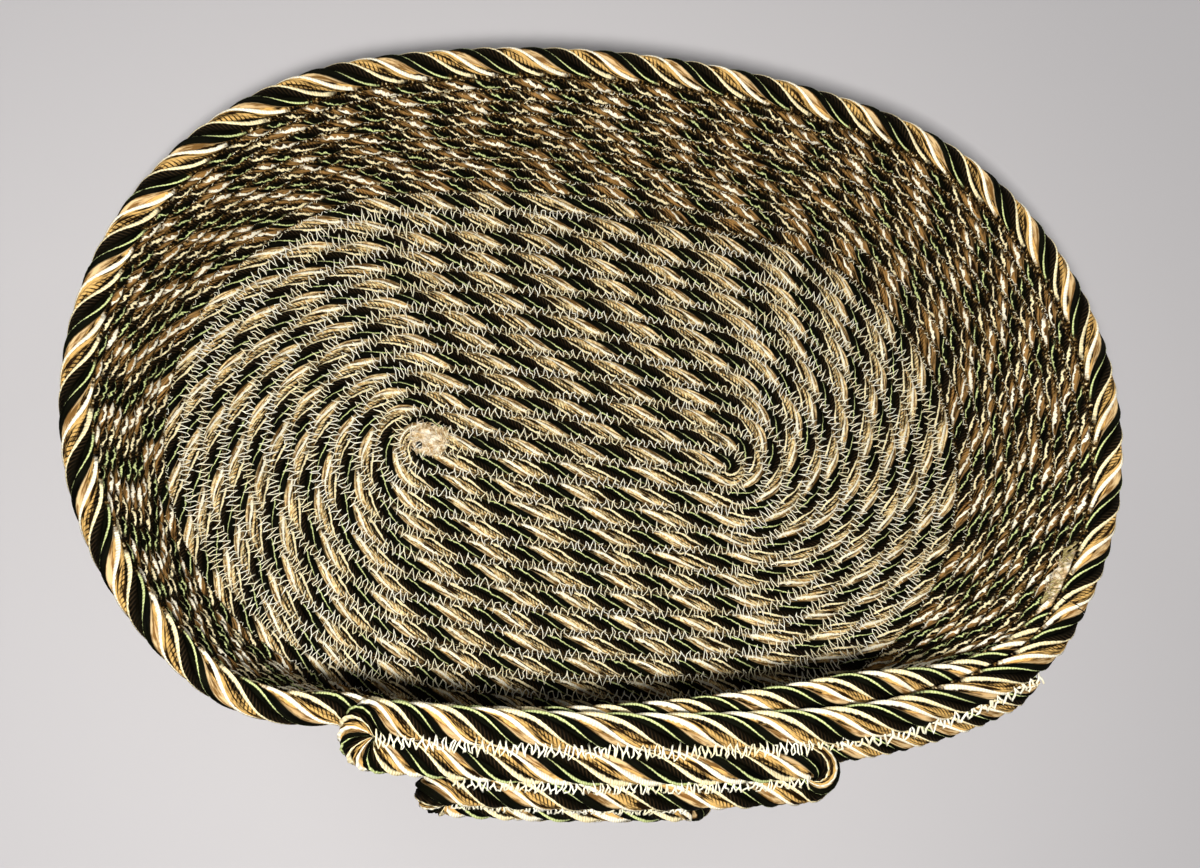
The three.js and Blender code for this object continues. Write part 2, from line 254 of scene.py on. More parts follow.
whole = twist(np.array([0, rim_to]))
print("repeats on the coil:", round(whole[1] - whole[0], 1))

# %% [markdown]
# ## Colours, and one small helper for nodes
# Colours are written as they look on a screen, and one function turns them into the linear numbers
# that the shader wants. Node trees and materials are built with the same function, `add`: it makes a
# node, sets its properties, fills or links its inputs, and gives back the output that is used next.
# Inputs go in by name, or by number where they are given as a row: a Map Range takes the value, the
# range it comes from and the range it goes to.

# %% Screen colours
def srgb(code):
    values = np.array([int(code[i:i + 2], 16) for i in (1, 3, 5)]) / 255
    linear = np.where(values <= 0.04045, values / 12.92, ((values + 0.055) / 1.055) ** 2.4)
    return (*linear.tolist(), 1.0)


print("mid grey is", round(srgb("#808080")[0], 3), "in linear light")

# %% Adding a node
MATH, VECTOR, RANGE = "ShaderNodeMath", "ShaderNodeVectorMath", "ShaderNodeMapRange"
NOISE, MIX, RAMP = "ShaderNodeTexNoise", "ShaderNodeMix", "ShaderNodeValToRGB"
STORE, READ = "GeometryNodeStoreNamedAttribute", "GeometryNodeInputNamedAttribute"
RING, SWEEP = "GeometryNodeCurvePrimitiveCircle", "GeometryNodeCurveToMesh"
RANDOM, JOIN = "FunctionNodeRandomValue", "ShaderNodeCombineXYZ"


def fill(tree, node, inputs):
    """Links each input whose value is a socket, and sets the others."""
    for key, value in inputs.items() if isinstance(inputs, dict) else enumerate(inputs):
        if isinstance(value, bpy.types.NodeSocket):
            tree.links.new(value, node.inputs[key])
        else:
            node.inputs[key].default_value = value


def add(tree, kind, inputs=(), out=None, stops=(), **settings):
    """A new node's output called `out`, or its first one in use. `stops` are a colour ramp's."""
    node = tree.nodes.new(kind)
    for name, value in settings.items():
        setattr(node, name, value)
    for number, (place, code) in enumerate(stops):
        elements = node.color_ramp.elements
        element = elements[number] if number < len(elements) else elements.new(place)
        element.position, element.color = place, srgb(code)
    fill(tree, node, inputs)
    return node.outputs[out] if out else next((s for s in node.outputs if s.enabled), None)


def new_material(name):
    material = bpy.data.materials.new(name)
    material.use_nodes = True
    tree = material.node_tree
    return material, tree, tree.nodes["Principled BSDF"]


# %% Starting and ending a geometry tree
def new_tree(name, **sizes):
    """An empty geometry tree with a geometry going in and out and named number inputs."""
    tree = bpy.data.node_groups.new(name, "GeometryNodeTree")
    tree.interface.new_socket("Guide", in_out="INPUT", socket_type="NodeSocketGeometry")
    for label, default in sizes.items():
        kind = "NodeSocketInt" if isinstance(default, int) else "NodeSocketFloat"
        socket = tree.interface.new_socket(label, in_out="INPUT", socket_type=kind)
        socket.default_value = default
    tree.interface.new_socket("Finish", in_out="INPUT", socket_type="NodeSocketMaterial")
    tree.interface.new_socket("Geometry", in_out="OUTPUT", socket_type="NodeSocketGeometry")
    return tree, tree.nodes.new("NodeGroupInput").outputs


def end_tree(tree, given, shape):
    """Shades the shape smooth, makes instances real, gives it the finish and leads it out of the tree."""
    smooth = add(tree, "GeometryNodeSetShadeSmooth", {"Geometry": shape})
    real = add(tree, "GeometryNodeRealizeInstances", {"Geometry": smooth})
    finished = add(tree, "GeometryNodeSetMaterial", {"Geometry": real, "Material": given["Finish"]})
    add(tree, "NodeGroupOutput", {"Geometry": finished})
    print(tree.name, "tree:", len(tree.nodes), "nodes")


# %% From a guide to a finished piece
def placed(name, data):
    """A new object in the scene."""
    made = bpy.data.objects.new(name, data)
    bpy.context.collection.objects.link(made)
    return made


def guide_line(name, points, **values):
    """A line of vertices in metres that carries one number or direction per vertex for each name."""
    mesh = bpy.data.meshes.new(name)
    count = len(points)
    mesh.from_pydata((points * MM).tolist(), [(i, i + 1) for i in range(count - 1)], [])
    for label, value in values.items():
        value = np.asarray(value, np.float32)
        vector = value.ndim == 2
        layer = mesh.attributes.new(label, "FLOAT_VECTOR" if vector else "FLOAT", "POINT")
        layer.data.foreach_set("vector" if vector else "value", value.ravel())
    return placed(name, mesh)


def shape_from(guide, tree, name, material, **sizes):
    """Runs a tree on a guide, keeps the result as a plain mesh and removes the guide."""
    modifier = guide.modifiers.new(name, "NODES")
    modifier.node_group = tree
    sockets = {s.name: s.identifier for s in tree.interface.items_tree if s.in_out == "INPUT"}
    modifier[sockets["Finish"]] = material
    for label, value in sizes.items():
        modifier[sockets[label]] = value
    ready = guide.evaluated_get(bpy.context.evaluated_depsgraph_get())
    mesh = bpy.data.meshes.new_from_object(ready)
    mesh.name = name
    bpy.data.objects.remove(guide)
    return placed(name, mesh)


def volume(mesh):
    """Volume in cubic millimetres; it is negative where the faces point inwards."""
    mesh.calc_loop_triangles()
    co = np.empty(len(mesh.vertices) * 3)
    mesh.vertices.foreach_get("co", co)
    corners = np.empty(len(mesh.loop_triangles) * 3, int)
    mesh.loop_triangles.foreach_get("vertices", corners)
    a, b, c = co.reshape(-1, 3)[corners.reshape(-1, 3)].transpose(1, 0, 2)
    return np.sum(a * np.cross(b, c)) / 6 / MM**3


def keep(piece, slot, *nodes):
    """Turns the faces outwards, puts the piece on the bowl and hides the solids it stands for."""
    if volume(piece.data) < 0:
        piece.data.flip_normals()
    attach(piece, "root")
    if nodes:
        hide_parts(*nodes)
    print(piece.name, len(piece.data.loop_triangles), "triangles,", round(volume(piece.data)), "mm3")


# %% [markdown]
# ## Rayon furnishing cord
# The cord is spun from rayon, a smooth and shiny yarn. Each ply is a soft bundle with one hard gimp
# cord laid near its leading edge: a core wrapped with fine thread. Going along the cord comes a
# bundle that is partly tan and partly black, with a thin yellow-green gimp; then a black bundle with a
# cream gimp; and then a gold bundle, streaked with black-brown, with a nearly white gimp. The pattern
# is drawn on a UV map that follows the plies: U runs along the cord in millimetres, V counts the kinds
# of ply and runs across each.

# %% Which ply, and where across it
KINDS, KIND_STEP, SAME = 3, 2.0, 0.2
cord_finish, tree, shader = new_material("rayon_furnishing_cord")
uv = add(tree, "ShaderNodeUVMap", uv_map="ply_uv")
split = add(tree, "ShaderNodeSeparateXYZ", [uv]).node.outputs
counted = add(tree, MATH, (split["Y"], 1 / KIND_STEP), operation="MULTIPLY")
kind = add(tree, MATH, [counted], operation="FLOOR")
rest = add(tree, MATH, (counted, kind), operation="SUBTRACT")
across = add(tree, MATH, (rest, KIND_STEP), operation="MULTIPLY")
is_first, is_second, is_third = [
    add(tree, MATH, (kind, number, SAME), operation="COMPARE") for number in range(KINDS)]
picker = add(tree, MATH, (kind, 1 / KINDS, 0.5 / KINDS), operation="MULTIPLY_ADD")

# The low bundle colours are the dark between the filaments, and also painted shade in the groove.
colour_stops = {"bundle": ["#0b0c05", "#0b0904", "#d8b06a"], "bundle_streak_and_shade": ["#030301", "#040301", "#1e1105"],
        "gimp": ["#d8e4a4", "#fff3c9", "#fffceb"], "gimp_low": ["#aebc74", "#eddba6", "#fbf0cc"],
        "cross": ["#0b0c05", "#2e2316", "#1e1206"]}
colour_ramps = {}
for yarn, codes in colour_stops.items():
    colour_ramps[yarn] = add(tree, RAMP, {"Fac": picker}, stops=[(n / KINDS, code) for n, code in enumerate(codes)])
    colour_ramps[yarn].node.color_ramp.interpolation = "CONSTANT"
print(cord_finish.name, "has", len(colour_stops) * KINDS, "colour_stops")

# %% Filaments and what the guide says
# Each noise has its cells per millimetre along the cord and per ply across it, its detail and its
# roughness. The filaments run along each ply, about 0.7 mm apart, wider than real so that they show.
noises = {"streak": (0.15, 5.0, 3.0, 0.6), "cloud": (0.05, 0.7, 2.0, 0.5), "wave": (0.4, 0.5, 1.0, 0.5),
          "fuzz": (1.3, 5.0, 2.0, 0.5), "tweed": (1.1, 4.5, 2.0, 0.6)}
drawn = []
for per_mm, per_ply, detail, roughness in noises.values():
    place = add(tree, "ShaderNodeMapping", {"Vector": uv, "Scale": (per_mm, per_ply, 1.0)})
    drawn.append(add(tree, NOISE, {"Vector": place, "Scale": 1.0, "Detail": detail, "Roughness": roughness}))
streak, cloud, wave, fuzz, tweed = drawn

# How far the gimp is sunk, how near the seam is, how much it is bound, the tan share and the painted sheen.
sunk, near_seam, bound, tan_share, pale = [
    add(tree, "ShaderNodeAttribute", out="Fac", attribute_name=name)
    for name in ("sunk", "seam", "bound", "tan_share", "pale")]
print("noises:", ", ".join(noises))

# %% Gimp
# The gimp is about a quarter of the ply wide, thinnest on the first kind, and wanders a little. Where
# the sewing pulls the cord tight, it sinks into the bundle.
GIMP_WANDER, FUZZ, SEWN_FUZZ = 0.12, 0.08, 0.18
FIRST_THINNER, SECOND_THINNER, SLIMMER, FIRST_SHORTER, SOFT_EDGE = 0.125, 0.05, 0.1, 0.06, 0.03
WAVE, GIMP_EDGES = 0.5, (0.605, 0.875)
GIMP_FROM, GIMP_END = [edge + 0.5 * GIMP_WANDER for edge in GIMP_EDGES]
thinner = add(tree, MATH, (is_first, FIRST_THINNER, GIMP_FROM), operation="MULTIPLY_ADD")
second = add(tree, MATH, (is_second, SECOND_THINNER, thinner), operation="MULTIPLY_ADD")
not_first = add(tree, MATH, (1.0, is_first), operation="SUBTRACT")
thick_sunk = add(tree, MATH, (sunk, not_first), operation="MULTIPLY")
begin = add(tree, MATH, (thick_sunk, SLIMMER, second), operation="MULTIPLY_ADD")
wave_from = add(tree, MATH, (wave, 0.5), operation="SUBTRACT")
how_wavy = add(tree, MATH, (sunk, WAVE), operation="MULTIPLY")
waved = add(tree, MATH, (wave_from, how_wavy, across), operation="MULTIPLY_ADD")
swayed = add(tree, MATH, (cloud, GIMP_WANDER, waved), operation="MULTIPLY_ADD")
ragged = add(tree, MATH, (fuzz, 0.5), operation="SUBTRACT")
how_ragged = add(tree, MATH, (sunk, SEWN_FUZZ, FUZZ), operation="MULTIPLY_ADD")
moved = add(tree, MATH, (ragged, how_ragged, swayed), operation="MULTIPLY_ADD")
past = add(tree, MATH, (moved, begin), operation="SUBTRACT")
rise = add(tree, RANGE, (past, 0.0, SOFT_EDGE))
ends = add(tree, MATH, (is_first, FIRST_SHORTER, moved), operation="MULTIPLY_ADD")
fall = add(tree, RANGE, (ends, GIMP_END, GIMP_END + SOFT_EDGE, 1.0, 0.0))
whole_gimp = add(tree, MATH, (rise, fall), operation="MULTIPLY")

# The gimp's own thread goes round it about every 0.7 mm.
WRAP, WRAP_LEAN = 0.7, -9.0
wrap_at = add(tree, MATH, (split["X"], 2 * pi / WRAP), operation="MULTIPLY")
wrap_slant = add(tree, MATH, (across, WRAP_LEAN, wrap_at), operation="MULTIPLY_ADD")
wrap = add(tree, MATH, [wrap_slant], operation="SINE")
wrap_share = add(tree, RANGE, (wrap, -1.0, 0.0))
print("the gimp's edges across the ply:", GIMP_EDGES)

# %% Tweed at the seams
# Near a seam the stitches bury the plies: the gimp goes under and only a tweed of short ends is left.
# Its colours are mostly near black: partly the short ends, partly painted shade in the crevice.
# The attribute of the seam is 0 on the ridge of the row and 1 or more in the crevice.
SEAM_FROM, SEAM_TO, SEAM_RAGGED, BOUND_STEP = 0.92, 1.16, 0.5, 0.5
seam_edge = add(tree, MATH, (ragged, SEAM_RAGGED, near_seam), operation="MULTIPLY_ADD")
drawn_in = add(tree, MATH, (bound, BOUND_STEP, seam_edge), operation="MULTIPLY_ADD")
buried = add(tree, RANGE, (drawn_in, SEAM_FROM, SEAM_TO))
open_share = add(tree, MATH, (1.0, buried), operation="SUBTRACT")
on_gimp = add(tree, MATH, (whole_gimp, open_share), operation="MULTIPLY")
# The tweed's dark stops are partly its short ends and partly painted shade in the seam's crevice.
SEAM_TWEED_AND_SHADE = [(0.44, "#050402"), (0.53, "#2c1f0d"), (0.61, "#80602f"), (0.68, "#f2e8bc")]
seam_tweed_and_shade = add(tree, RAMP, {"Fac": tweed}, stops=SEAM_TWEED_AND_SHADE)
print("tweed of", len(SEAM_TWEED_AND_SHADE), "colour_stops")

# %% Tan part and cross yarns
# The tan part of the first bundle lies next to the white gimp of the ply behind it.
TAN_WANDER, TAN_EDGE = 0.35, 0.04
tan_from = add(tree, MATH, (tan_share, 0.5 * TAN_WANDER), operation="SUBTRACT")
tan_end = add(tree, MATH, (cloud, TAN_WANDER, tan_from), operation="MULTIPLY_ADD")
tan_past = add(tree, MATH, (across, tan_end), operation="SUBTRACT")
tan_here = add(tree, RANGE, (tan_past, -TAN_EDGE, TAN_EDGE, 1.0, 0.0))
on_tan = add(tree, MATH, (tan_here, is_first), operation="MULTIPLY")

# Fine yarns cross the bundles on both sides of the second gimp, dark brown on the black bundle and
# nearly black on the gold one. They are 1.1 mm apart along the cord, wider than real so that they show.
STRIPE, LEAN, STRIPE_EDGE, GIMP_SIDE = 1.1, 1.6, (0.1, 0.8), (0.2, 0.5)
slant = add(tree, MATH, (across, LEAN), operation="MULTIPLY")
stripe_at = add(tree, MATH, (split["X"], 1 / STRIPE, slant), operation="MULTIPLY_ADD")
stripe_turn = add(tree, MATH, (stripe_at, 2 * pi), operation="MULTIPLY")
stripe_wave = add(tree, MATH, [stripe_turn], operation="SINE")
stripe = add(tree, RANGE, (stripe_wave, *STRIPE_EDGE))
by_gimp = add(tree, RANGE, (across, *GIMP_SIDE))
before = add(tree, MATH, (by_gimp, is_second), operation="MULTIPLY")
off_gimp = add(tree, MATH, (1.0, by_gimp), operation="SUBTRACT")
crossed = add(tree, MATH, (off_gimp, is_third, before), operation="MULTIPLY_ADD")
on_stripe = add(tree, MATH, (stripe, crossed), operation="MULTIPLY")
print("cross yarns every", STRIPE, "mm")

# %% Cord colours
# In the groove at the start of each ply the colour is darkened: painted shade. Between the filaments
# the dye is darker, and the light bundles are duller and darker the higher the row's sunk number, most
# on the wall. On the floor the light bundles carry pale flecks: a painted sheen where their satin faces the
# lamp.
GROOVE, FILAMENT, FLECK, FADE = (0.0, 0.1), (0.43, 0.55), (0.42, 0.56), (0.3, 0.7, 0.8, 1.1)
# Painted shade: each ply's colour is darkened in the groove where it starts.
hollow = add(tree, RANGE, (across, *GROOVE))
bright = add(tree, RANGE, (streak, *FILAMENT))
lit = add(tree, MATH, (hollow, bright), operation="MULTIPLY")
# Painted sheen: pale flecks on the floor's light bundles, where their satin faces the lamp.
flecks = add(tree, RANGE, (tweed, *FLECK))
floor_sheen_share = add(tree, MATH, (pale, flecks), operation="MULTIPLY")
floor_sheen_on_third = add(tree, MATH, (floor_sheen_share, is_third), operation="MULTIPLY")
dull_third = add(tree, MATH, (sunk, is_third), operation="MULTIPLY")
gold = add(tree, MIX, {"Factor": dull_third, "A": colour_ramps["bundle"], "B": srgb("#a07a46")}, data_type="RGBA")
dull_tan = add(tree, MIX, {"Factor": sunk, "A": srgb("#d8bc8c"), "B": srgb("#a17e4e")}, data_type="RGBA")
tan_streak_and_shade = add(tree, MIX, {"Factor": sunk, "A": srgb("#7c5c32"), "B": srgb("#2e200e")}, data_type="RGBA")
ridge = add(tree, MIX, {"Factor": floor_sheen_on_third, "A": gold, "B": srgb("#f6e3ae")}, data_type="RGBA")
tan_ridge = add(tree, MIX, {"Factor": floor_sheen_share, "A": dull_tan, "B": srgb("#f0dba8")}, data_type="RGBA")
body = add(tree, MIX, {"Factor": lit, "A": colour_ramps["bundle_streak_and_shade"], "B": ridge}, data_type="RGBA")
tan = add(tree, MIX, {"Factor": lit, "A": tan_streak_and_shade, "B": tan_ridge}, data_type="RGBA")
with_tan = add(tree, MIX, {"Factor": on_tan, "A": body, "B": tan}, data_type="RGBA")
striped = add(tree, MIX, {"Factor": on_stripe, "A": with_tan, "B": colour_ramps["cross"]}, data_type="RGBA")
line = add(tree, MIX, {"Factor": wrap_share, "A": colour_ramps["gimp_low"], "B": colour_ramps["gimp"]}, data_type="RGBA")
open_plies = add(tree, MIX, {"Factor": on_gimp, "A": striped, "B": line}, data_type="RGBA")
both = add(tree, MIX, {"Factor": buried, "A": open_plies, "B": seam_tweed_and_shade}, data_type="RGBA")
fade = add(tree, RANGE, (cloud, *FADE))
shade = add(tree, "ShaderNodeHueSaturation", {"Color": both, "Value": fade})
print("cord colours:", sum(node.bl_idname == MIX for node in tree.nodes), "mixes")

# %% Cord surface
FIBRE_HEIGHT, GLOSS = 2.0, (0.55, 0.8)
height = add(tree, MATH, (wrap, on_gimp), operation="MULTIPLY")
ridges = add(tree, MATH, (stripe_wave, is_second, height), operation="MULTIPLY_ADD")
fibres = add(tree, MATH, (streak, FIBRE_HEIGHT, ridges), operation="MULTIPLY_ADD")
bump = add(tree, "ShaderNodeBump", {"Height": fibres, "Strength": 0.5, "Distance": 0.12 * MM})
gloss = add(tree, RANGE, (streak, 0.0, 1.0, *GLOSS))
fill(tree, shader, {"Base Color": shade, "Normal": bump, "Roughness": gloss, "IOR": 1.5,
                    "Specular IOR Level": 0.02})
print(cord_finish.name, len(tree.nodes), "nodes")

# %% [markdown]
# ## Twisted cord as a sweep
# A ply could be modelled as a tube of its own and wound six times round, but then most of its faces
# would be hidden inside. Here one tube has the outline of all six plies, and the outline turns as it
# goes along. A Float Curve holds the section of one ply: a groove, the round bundle, and the gimp as a
# bead on its edge. The guide line carries the direction of the rows, so the outline can be pressed
# narrower where a neighbour touches it. A squeezed cord lies flat against its neighbours, so on the
# face that shows the plies are spread wider and cross the row more steeply: the guide says how much.
# The input Relief says how deep the grooves are, and Left what share of that is left at a seam.

# %% Cord tree, the tube
PLIES, COLUMNS = 6, 8
cord_tree, given = new_tree("twisted cord", Plies=PLIES, Columns=COLUMNS, Relief=1.0, Left=0.1)
tree = cord_tree
position = add(tree, "GeometryNodeInputPosition")
curve = add(tree, "GeometryNodeMeshToCurve", {"Mesh": given["Guide"]})
centred = add(tree, STORE, {"Geometry": curve, "Name": "centre", "Value": position}, data_type="FLOAT_VECTOR")
total = add(tree, MATH, (given["Plies"], given["Columns"]), operation="MULTIPLY")
ring = add(tree, RING, {"Resolution": total, "Radius": MM})
index = add(tree, "GeometryNodeInputIndex")
counted = add(tree, STORE, {"Geometry": ring, "Name": "column", "Value": index}, data_type="FLOAT")
tube = add(tree, SWEEP, {"Curve": centred, "Profile Curve": counted, "Fill Caps": True})

stored = {"column": "FLOAT", "along": "FLOAT", "turn": "FLOAT", "spread": "FLOAT", "free": "FLOAT",
          "centre": "FLOAT_VECTOR", "sideways": "FLOAT_VECTOR", "facing": "FLOAT_VECTOR"}
column, along, turn, spread, free, centre, sideways, facing = [
    add(tree, READ, {"Name": label}, data_type=data) for label, data in stored.items()]
print("the tube's outline has", PLIES * COLUMNS, "columns")

# %% Cord tree, the outline
FREE_RISE, PRESS_FROM = 0.55, 0.7
PLY_SECTION = [(0, 0.66), (0.125, 0.82), (0.25, 0.915), (0.375, 0.945), (0.5, 0.925), (0.625, 0.965),
               (0.75, 1.0), (0.875, 0.90), (1, 0.66)]
share = add(tree, MATH, (column, total), operation="DIVIDE")
circle = add(tree, MATH, (share, 2 * pi), operation="MULTIPLY")
laid = add(tree, MATH, (circle, turn), operation="ADD")
twice = add(tree, MATH, (laid, 2.0), operation="MULTIPLY")
ripple = add(tree, MATH, [twice], operation="SINE")
pushed = add(tree, MATH, (ripple, spread), operation="MULTIPLY")
angle = add(tree, MATH, (laid, pushed), operation="SUBTRACT")
cosine = add(tree, MATH, [angle], operation="COSINE")
sine = add(tree, MATH, [angle], operation="SINE")
in_ply = add(tree, MATH, (column, given["Columns"]), operation="DIVIDE")
part = add(tree, MATH, [in_ply], operation="FRACT")
from_front = add(tree, MATH, (1.0, part), operation="SUBTRACT")
section = add(tree, "ShaderNodeFloatCurve", {"Value": from_front})
mapping = section.node.mapping
section_points = mapping.curves[0].points
section_points[0].location, section_points[1].location = PLY_SECTION[0], PLY_SECTION[-1]
for place in PLY_SECTION[1:-1]:
    section_points.new(*place)
mapping.update()

# A row has a seam on both sides, or, where its upper side is free, one that reaches further round.
sewn_above = add(tree, MATH, (1.0, free), operation="SUBTRACT")
above = add(tree, MATH, (cosine, sewn_above), operation="MULTIPLY")
raised = add(tree, MATH, (free, FREE_RISE), operation="MULTIPLY")
below = add(tree, MATH, (raised, cosine), operation="SUBTRACT")
to_seam = add(tree, MATH, (above, below), operation="MAXIMUM")
pressed = add(tree, RANGE, (to_seam, PRESS_FROM, 1.0, 1.0, given["Left"]))
relief = add(tree, MATH, (given["Relief"], pressed), operation="MULTIPLY")
full_share = add(tree, MATH, (1.0, relief), operation="SUBTRACT")
bulge = add(tree, MATH, (section, relief, full_share), operation="MULTIPLY_ADD")
reach_side = add(tree, MATH, (cosine, bulge), operation="MULTIPLY")
reach_face = add(tree, MATH, (sine, bulge), operation="MULTIPLY")
to_side = add(tree, VECTOR, {0: sideways, "Scale": reach_side}, operation="SCALE")
to_face = add(tree, VECTOR, {0: facing, "Scale": reach_face}, operation="SCALE")
out_from = add(tree, VECTOR, (to_side, to_face), operation="ADD")
surface = add(tree, VECTOR, (centre, out_from), operation="ADD")
known = add(tree, STORE, {"Geometry": tube, "Name": "seam", "Value": to_seam}, data_type="FLOAT")
shaped = add(tree, "GeometryNodeSetPosition", {"Geometry": known, "Position": surface})
print("a ply's section has", len(PLY_SECTION), "points")

# %% Cord tree, the UV map of the plies
# The face that a corner belongs to says which ply it is on, also where the ring closes on itself.
ring_cos = add(tree, MATH, [circle], operation="COSINE")
ring_sin = add(tree, MATH, [circle], operation="SINE")
ring_point = add(tree, JOIN, {"X": ring_cos, "Y": ring_sin})
face_point = add(tree, "GeometryNodeFieldOnDomain", [ring_point], data_type="FLOAT_VECTOR", domain="FACE")
face_xy = add(tree, "ShaderNodeSeparateXYZ", [face_point]).node.outputs
face_angle = add(tree, MATH, (face_xy["Y"], face_xy["X"]), operation="ARCTAN2")
face_share = add(tree, MATH, (face_angle, 1 / (2 * pi)), operation="MULTIPLY")
face_fract = add(tree, MATH, [face_share], operation="FRACT")
face_columns = add(tree, MATH, (face_fract, total), operation="MULTIPLY")
first = add(tree, MATH, [face_columns], operation="FLOOR")
past = add(tree, MATH, (column, first), operation="SUBTRACT")
step_on = add(tree, MATH, (past, total), operation="FLOORED_MODULO")
ply_float = add(tree, MATH, (first, given["Columns"]), operation="DIVIDE")
ply = add(tree, MATH, [ply_float], operation="FLOOR")
ply_start = add(tree, MATH, (ply, given["Columns"]), operation="MULTIPLY")
in_face = add(tree, MATH, (first, ply_start), operation="SUBTRACT")
corner = add(tree, MATH, (in_face, step_on), operation="ADD")
corner_share = add(tree, MATH, (corner, given["Columns"]), operation="DIVIDE")
led = add(tree, MATH, (1.0, corner_share), operation="SUBTRACT")
back_ply = add(tree, MATH, (given["Plies"], ply), operation="SUBTRACT")
ply_kind = add(tree, MATH, (back_ply, KINDS), operation="FLOORED_MODULO")
ply_v = add(tree, MATH, (ply_kind, KIND_STEP, led), operation="MULTIPLY_ADD")
ply_uv = add(tree, JOIN, {"X": along, "Y": ply_v})
mapped = add(tree, STORE, {"Geometry": shaped, "Name": "ply_uv", "Value": ply_uv},
             data_type="FLOAT2", domain="CORNER")
end_tree(tree, given, mapped)

# %% [markdown]
# ## Floor, wall and rim
# The zigzag draws the soft cord down to rows of 6.4 mm, so it is narrower along the surface than
# through it. The rim has no neighbour above it and stays rounder. Each kind of row has eight numbers:
# half width, half depth, the spread of the plies on its face, how far the gimp is sunk into the bundles,
# how much the stitches bury the plies near a seam, 1 where one side is free of stitches, how much of
# the first bundle is tan, and how much painted sheen pales the light bundles. Floor and wall are each
# cut into two meshes to keep a piece light; the cut falls inside a row and doesn't show.

# %% Coil pieces
SEWN_WIDTH, SEWN_DEPTH, RIM_RELIEF = 3.3, 3.7, 1.7
FLOOR_LIFT = SEWN_DEPTH - CORD_FACE
CORE_END, CORE_POINTS, FLOOR_CUT, WALL_CUT = -1.5, 23, 0.52, 0.5
LOOSE_STEP, RIM_PHASE = 1.4, 0.3
# The last number of a row, 1 on the floor, is how much painted sheen pales its light bundles.
ON_FLOOR = SEWN_WIDTH, SEWN_DEPTH, 0.12, 0.5, 0.45, 0, 0.2, 1
ON_WALL = SEWN_WIDTH, SEWN_DEPTH, 0.2, 1.0, 0.85, 0, 0.36, 0
ON_RIM = 4.2, 4.3, -0.17, 0, 1, 1, 0.32, 0


def cord_piece(name, points, side, size, repeats, nodes, **sizes):
    """Twisted cord along points in mm, with the eight numbers of its kind of row."""
    _, sideways, facing = framed(points, side)
    lifted = points + np.array([0, 0, FLOOR_LIFT]) * np.maximum(facing[:, 2:], 0)
    width, depth, spread, sunk, bound, free, tan, pale = [np.broadcast_to(v, len(points)) for v in size]
    guide = guide_line(
        name + "_guide", lifted, sideways=sideways * width[:, None] * MM, facing=facing * depth[:, None] * MM,
        turn=pi * repeats, along=lengths(points), spread=spread, sunk=sunk, bound=bound, free=free,
        tan_share=tan, pale=pale)
    keep(shape_from(guide, cord_tree, name, cord_finish, **sizes), "cord", *nodes)


def cord_halves(names, cut_at, points, side, size, repeats, node):
    """Twisted cord as two meshes, cut at this share of its points."""
    cut = int(len(points) * cut_at)
    for name, part in zip(names, (slice(cut + 1), slice(cut, None))):
        cord_piece(name, points[part], side[part], size, repeats[part], [node])


core = np.linspace([START_X, 0, CORD_FACE], [CORE_END, 0, CORD_FACE], CORE_POINTS)
marks, points, side = coil_stretch(0, floor_mark, SEWN_STEP)
points, side = np.vstack([core, points]), np.vstack([np.tile([0.0, 1, 0], (len(core), 1)), side])
repeats = np.concatenate([core[:, 0] / REPEAT + twist(marks[:1]), twist(marks)])
floor_names = "floor_cord_inner", "floor_cord_outer"
cord_halves(floor_names, FLOOR_CUT, points, side, ON_FLOOR, repeats, "floor_coil")

marks, points, side = coil_stretch(floor_mark, wall_mark, SEWN_STEP)
wall_names = "wall_cord_lower", "wall_cord_upper"
cord_halves(wall_names, WALL_CUT, points, side, ON_WALL, twist(marks), "wall_coil")

marks, points, side = coil_stretch(rim_from, rim_to, LOOSE_STEP)
repeats = twist(marks) + RIM_PHASE
cord_piece("rim_cord", points, side, ON_RIM, repeats, ["rim_rope"], Relief=RIM_RELIEF)
leave, leave_frame, leave_twist = points[-1], framed(points, side), repeats[-1]

# %% [markdown]
# ## The lip
# At the front right the cord leaves the rim, rolls over by a quarter turn and runs to and fro in six
# rows. Each row ends a little further in than the row above it, and the rows fold over and down, so
# their turns show as small steps along the lower edge. The cord is looser here: thicker, and with a
# twist that is long in the middle and short at the left end.

# %% The surface of the lip
LIP_PITCH = 8.9
LIP_START, LIP_TILT, LIP_BOW = (-81.9, 80.4), 0.02, 2.4
LIP_FALL = np.radians([12, 42, 68, 86, 96])
LIP_ENDS = [-58, 53, -38, 23, -17, 6]
LIP_BEGINS = [LIP_ENDS[1] + LIP_PITCH / 2] + LIP_ENDS[:-1]
fall_y, fall_z = running(-LIP_PITCH * np.cos(LIP_FALL)), running(-LIP_PITCH * np.sin(LIP_FALL))


def lip(x, row):
    """Points of the lip's surface and its outward direction, by x in mm and by row."""
    x, row = np.broadcast_arrays(np.asarray(x, float), np.asarray(row, float))
    rows = np.arange(len(fall_y))
    y = LIP_START[0] + LIP_TILT * x - LIP_BOW * (1 - (x / LIP_ENDS[0]) ** 2) + np.interp(row, rows, fall_y)
    z = LIP_START[1] + np.interp(row, rows, fall_z)
    fall = np.interp(row - 0.5, np.arange(len(LIP_FALL)), LIP_FALL)
    return np.stack([x, y, z], -1), np.stack([0 * x, -np.sin(fall), np.cos(fall)], -1)


print("the lip hangs down", round(-fall_z[-1], 1), "mm")

